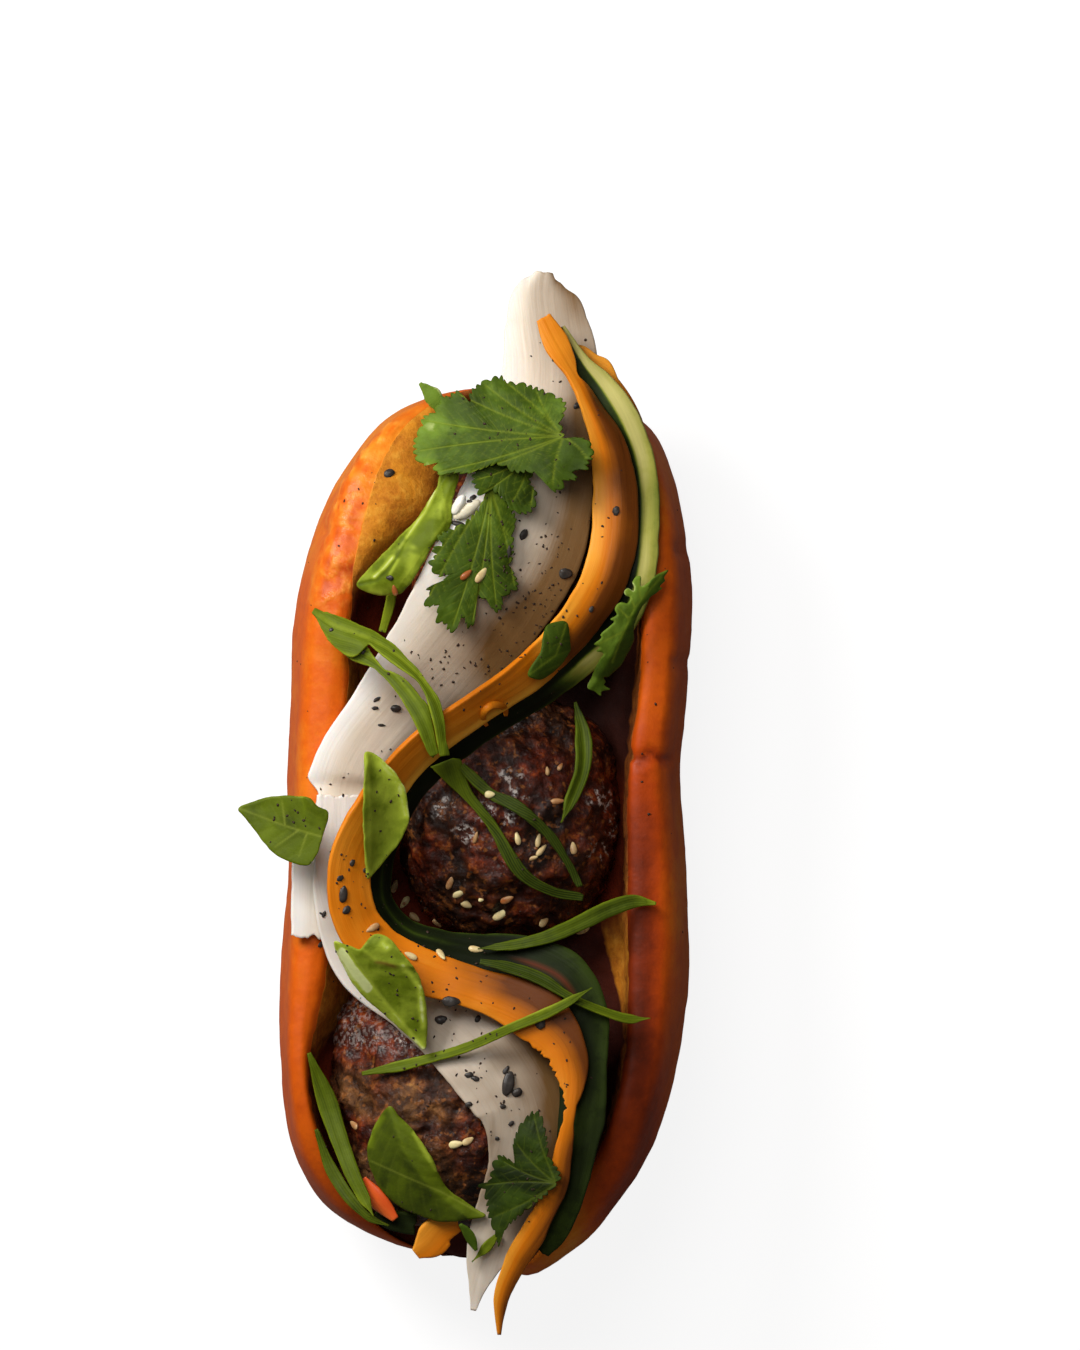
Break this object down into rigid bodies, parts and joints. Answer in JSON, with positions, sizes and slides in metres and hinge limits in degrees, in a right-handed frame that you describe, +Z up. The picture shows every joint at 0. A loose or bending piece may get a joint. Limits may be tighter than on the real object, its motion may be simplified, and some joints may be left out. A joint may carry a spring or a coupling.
{
  "type": "filled split sandwich roll",
  "caption": "Soft split sandwich roll filled with glazed meatballs, wound ribbons of daikon, cucumber and carrot, and scallion, basil and cilantro leaves.",
  "frame": {"origin": "middle of the roll's flat base, on the surface it rests on", "axes": "+Y along the roll towards the end where the daikon reaches out, +X across it, +Z up out of the cut"},
  "size_m": [0.0825, 0.1933, 0.0645],
  "materials": {
    "crust": "glossy egg-washed golden to deep brown crust with a toasted crumb face along the cut",
    "meat": "dark seared meat with a wet red-brown glaze and sesame seeds",
    "daikon": "moist translucent white radish with fine lengthwise grain and pepper flecks",
    "cucumber": "moist cucumber, dark green skin edge and pale green flesh",
    "carrot": "moist orange carrot ribbon with peeler ridges",
    "chilli": "moist orange-red pepper piece",
    "onion": "moist cream-white chunk",
    "scallion": "smooth green blade with lengthwise veins",
    "basil": "glossy green leaf with a midrib and side veins",
    "cilantro": "soft green lobed leaf with branching veins"
  },
  "bodies": {
    "root": {"basil_bottom": "basil", "basil_fold": "basil", "basil_left": "basil", "basil_mid": "basil", "basil_top": "basil", "carrot_corner": "carrot", "carrot_ribbon": "carrot", "carrot_scrap": "carrot", "chilli_piece": "chilli", "cilantro_bottom": "cilantro", "cilantro_fold": "cilantro", "cilantro_mid": "cilantro", "cilantro_right": "cilantro", "cilantro_top": "cilantro", "cucumber_ribbon": "cucumber", "cucumber_scrap": "cucumber", "daikon_lower": "daikon", "daikon_upper": "daikon", "leaf_piece": "cilantro", "leaf_tip": "cilantro", "meatball_bottom": "meat", "meatball_middle": "meat", "meatball_top": "meat", "onion_chunk": "onion", "roll": "crust", "scallion_blade": "scallion", "scallion_corner_a": "scallion", "scallion_corner_b": "scallion", "scallion_cross": "scallion", "scallion_loop_a": "scallion", "scallion_loop_b": "scallion", "scallion_right": "scallion", "scallion_right_blade": "scallion", "scallion_scrap": "scallion", "scallion_split_a": "scallion", "scallion_split_b": "scallion", "stem": "scallion", "thin_leaf": "cilantro"}
  },
  "joints": []
}
